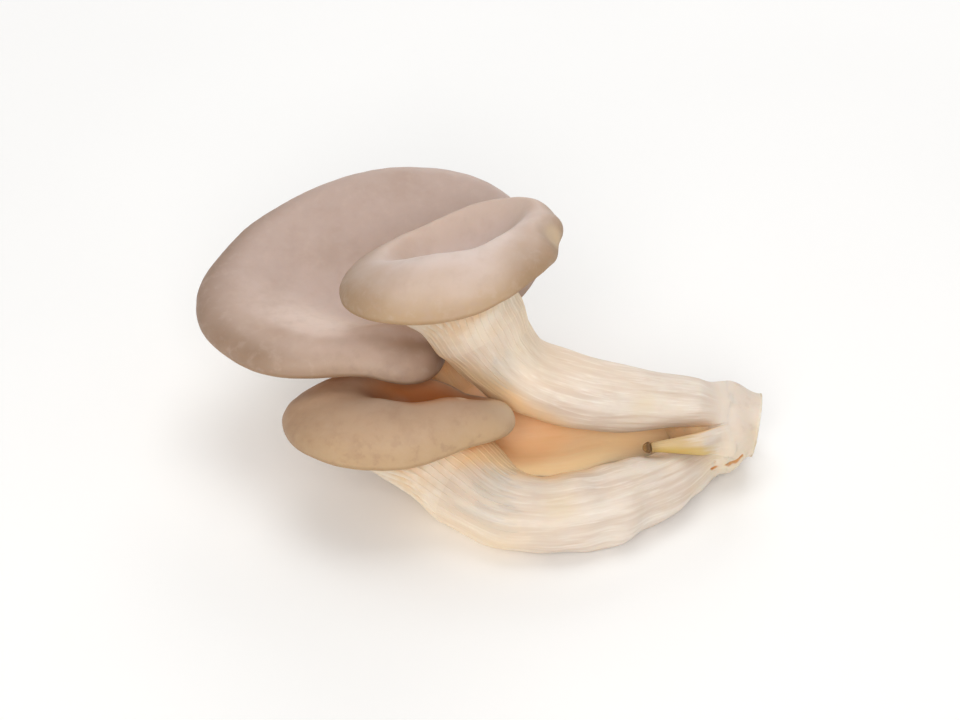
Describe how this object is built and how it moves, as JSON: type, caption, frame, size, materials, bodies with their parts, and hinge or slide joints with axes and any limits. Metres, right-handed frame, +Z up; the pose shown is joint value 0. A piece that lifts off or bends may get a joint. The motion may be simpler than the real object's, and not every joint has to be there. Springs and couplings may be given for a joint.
{
  "type": "oyster mushroom cluster",
  "caption": "Cut cluster of oyster mushrooms lying on its stems: wavy funnel caps with running gills on curved stems that join in one trimmed butt, with a small aborted pin beside them.",
  "frame": {"origin": "bottom centre of the bounding box, on the surface the cluster lies on", "axes": "+X from the caps to the cut butt, along the longest extent; +Y away from the near side, towards the large rear cap; +Z up"},
  "size_m": [0.1328, 0.0924, 0.073],
  "materials": {
    "upper_cap_skin": "smooth moist skin, pinkish beige, paler at the margin",
    "rear_cap_skin": "smooth moist skin, pinkish brown, darker in the hollow",
    "front_cap_skin": "smooth moist skin, brown rim and amber hollow",
    "gill_flesh": "thin cream blades, matte and slightly see-through",
    "stem_flesh": "off-white fibrous flesh with a soft sheen, amber where it is thin",
    "cut_flesh": "white trimmed flesh, fibrous and dry at the cut",
    "pin_flesh": "yellowish stunted flesh, faintly shiny",
    "pin_skin": "dried brown button with a dark rim"
  },
  "bodies": {
    "root": {"cap_upper": "upper_cap_skin", "gills_upper": "gill_flesh", "stem_upper": "stem_flesh", "cap_rear": "rear_cap_skin", "gills_rear": "gill_flesh", "stem_rear": "stem_flesh", "cap_front": "front_cap_skin", "gills_front": "gill_flesh", "stem_front": "stem_flesh", "butt": "cut_flesh", "pin_stalk": "pin_flesh", "pin_button": "pin_skin"}
  },
  "joints": []
}
